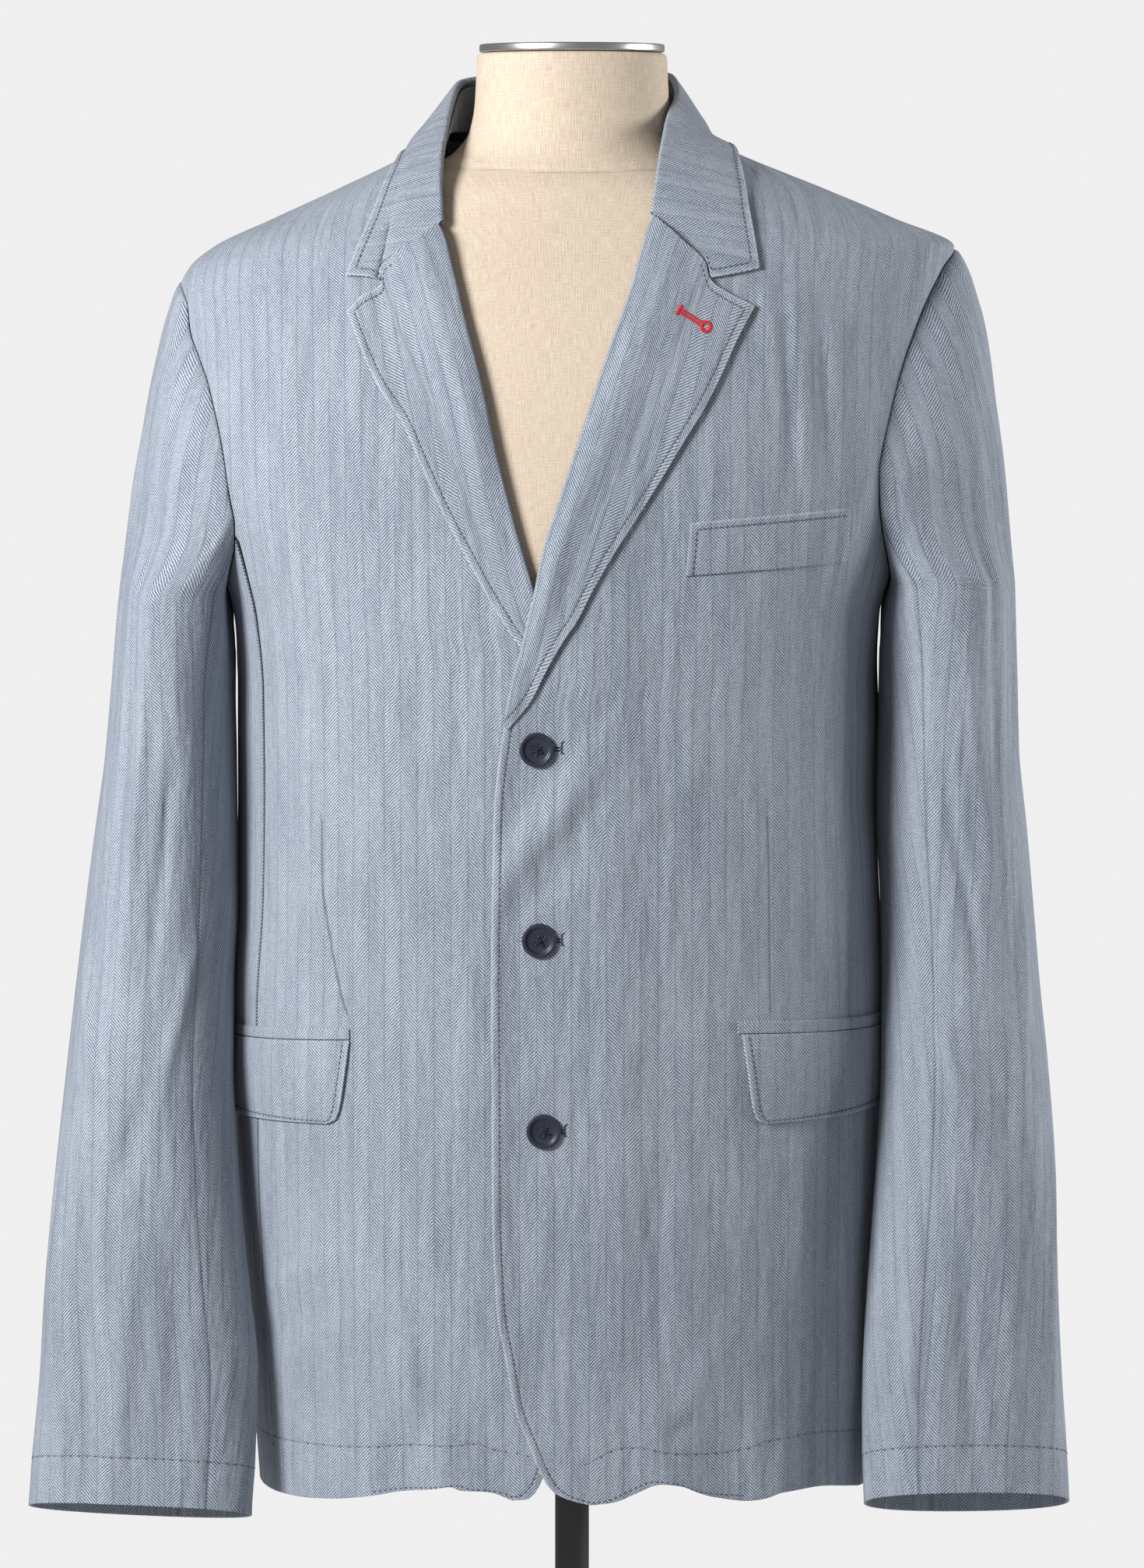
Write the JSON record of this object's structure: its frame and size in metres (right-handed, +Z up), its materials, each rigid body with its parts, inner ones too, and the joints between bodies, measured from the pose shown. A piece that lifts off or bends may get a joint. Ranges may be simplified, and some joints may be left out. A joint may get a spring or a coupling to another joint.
{
  "type": "blazer on a dress form",
  "caption": "Single-breasted notch-lapel blazer with flap pockets, worn open-necked on a limbless linen dress form on a pole stand.",
  "frame": {"origin": "centre of the underside of the stand's round base, on the floor", "axes": "+Z up along the pole, -Y to the blazer's front, +X to the wearer's left"},
  "size_m": [0.6001, 0.34, 1.1298],
  "materials": {
    "blazer_cloth": "blue-grey herringbone cloth, matt with fine slubs",
    "button_resin": "dark navy, softly glossy",
    "form_linen": "natural linen, plain weave",
    "cap_steel": "polished steel",
    "stand_black": "gloss black"
  },
  "bodies": {
    "root": {"front_left": "blazer_cloth", "side_panel_left": "blazer_cloth", "back_left": "blazer_cloth", "top_sleeve_left": "blazer_cloth", "under_sleeve_left": "blazer_cloth", "lapel_left": "blazer_cloth", "hip_welt_left": "blazer_cloth", "hip_flap_left": "blazer_cloth", "front_right": "blazer_cloth", "side_panel_right": "blazer_cloth", "back_right": "blazer_cloth", "top_sleeve_right": "blazer_cloth", "under_sleeve_right": "blazer_cloth", "lapel_right": "blazer_cloth", "hip_welt_right": "blazer_cloth", "hip_flap_right": "blazer_cloth", "collar_fall": "blazer_cloth", "collar_stand": "blazer_cloth", "chest_welt": "blazer_cloth", "button_top": "button_resin", "button_middle": "button_resin", "button_bottom": "button_resin", "form_body": "form_linen", "neck_cap": "cap_steel", "pole": "stand_black", "base": "stand_black"}
  },
  "joints": []
}
